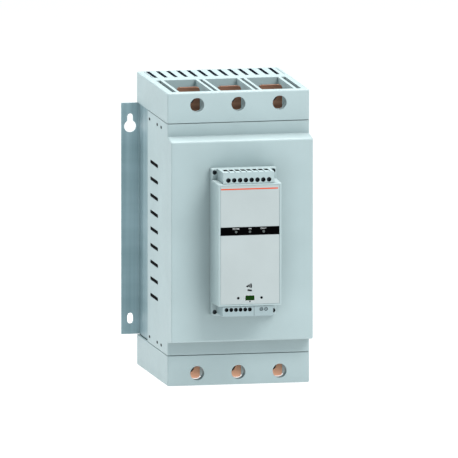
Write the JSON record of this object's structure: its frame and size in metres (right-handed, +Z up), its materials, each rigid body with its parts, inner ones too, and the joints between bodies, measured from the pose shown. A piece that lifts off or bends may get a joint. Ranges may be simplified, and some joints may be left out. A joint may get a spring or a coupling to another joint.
{
  "type": "thyristor module",
  "caption": "Three-phase thyristor power module: upright pale blue-grey moulded housing on a heat sink, with copper terminal bars, side flanges and a control unit on its front.",
  "frame": {"origin": "under the middle of the bounding box, at the level of the module's lowest face", "axes": "+Z up, towards the line terminals; -Y towards the front with the control unit; +Y towards the panel that the flanges are fixed to; +X to the right seen from the front"},
  "size_m": [0.1894, 0.224, 0.317],
  "materials": {
    "enclosure_plastic": "pale blue-grey moulded plastic with a fine matt texture",
    "control_plastic": "pale grey moulded plastic, matt",
    "panel_plastic": "pale grey panel, matt",
    "strip_black": "glossy black strip",
    "light_clear": "clear light pipe, unlit",
    "window_green": "deep green transparent window",
    "sheet_steel": "plated sheet steel, blue-grey, lightly streaked",
    "aluminium": "plain extruded aluminium",
    "copper": "bare copper, satin",
    "zinc_steel": "zinc-plated steel",
    "blackened_steel": "blackened steel screws",
    "potted_plastic": "dark potted plastic",
    "fan_plastic": "black glass-filled plastic",
    "circuit_board": "green circuit board"
  },
  "bodies": {
    "enclosure": {"body_cover": "enclosure_plastic", "top_terminal_cover": "enclosure_plastic", "bottom_terminal_cover": "enclosure_plastic", "bracket_left": "sheet_steel", "bracket_right": "sheet_steel", "heat_sink": "aluminium", "thyristor_module_1": "potted_plastic", "thyristor_module_2": "potted_plastic", "thyristor_module_3": "potted_plastic", "line_bar_1": "copper", "line_lug_nut_1": "zinc_steel", "line_bar_screw_1": "zinc_steel", "line_bar_2": "copper", "line_lug_nut_2": "zinc_steel", "line_bar_screw_2": "zinc_steel", "line_bar_3": "copper", "line_lug_nut_3": "zinc_steel", "line_bar_screw_3": "zinc_steel", "load_bar_1": "copper", "load_lug_nut_1": "zinc_steel", "load_bar_screw_1": "zinc_steel", "load_bar_2": "copper", "load_lug_nut_2": "zinc_steel", "load_bar_screw_2": "zinc_steel", "load_bar_3": "copper", "load_lug_nut_3": "zinc_steel", "load_bar_screw_3": "zinc_steel", "fan_frame_1": "fan_plastic", "fan_frame_2": "fan_plastic", "fan_frame_3": "fan_plastic", "firing_board": "circuit_board", "thermal_switch": "potted_plastic", "control_base": "control_plastic", "control_housing": "control_plastic", "front_panel": "panel_plastic", "indicator_strip": "strip_black", "status_light_1": "light_clear", "status_light_2": "light_clear", "status_light_3": "light_clear", "optical_window": "window_green", "control_board": "circuit_board", "upper_terminal_block": "control_plastic", "lower_terminal_block": "control_plastic", "lower_plug": "control_plastic", "plug_screw_1": "zinc_steel", "plug_screw_2": "zinc_steel", "base_screw_1": "blackened_steel", "base_screw_2": "blackened_steel", "base_screw_3": "blackened_steel", "base_screw_4": "blackened_steel"},
    "rotor_1": {"fan_rotor_1": "fan_plastic"},
    "rotor_2": {"fan_rotor_2": "fan_plastic"},
    "rotor_3": {"fan_rotor_3": "fan_plastic"}
  },
  "joints": [
    {"name": "fan_1_spin", "type": "hinge", "parent": "enclosure", "child": "rotor_1", "pos_m": [-0.045, 0.0883, 0.0021], "axis": [0, 0, 1], "continuous": true},
    {"name": "fan_2_spin", "type": "hinge", "parent": "enclosure", "child": "rotor_2", "pos_m": [0, 0.0883, 0.0021], "axis": [0, 0, 1], "continuous": true},
    {"name": "fan_3_spin", "type": "hinge", "parent": "enclosure", "child": "rotor_3", "pos_m": [0.045, 0.0883, 0.0021], "axis": [0, 0, 1], "continuous": true}
  ]
}
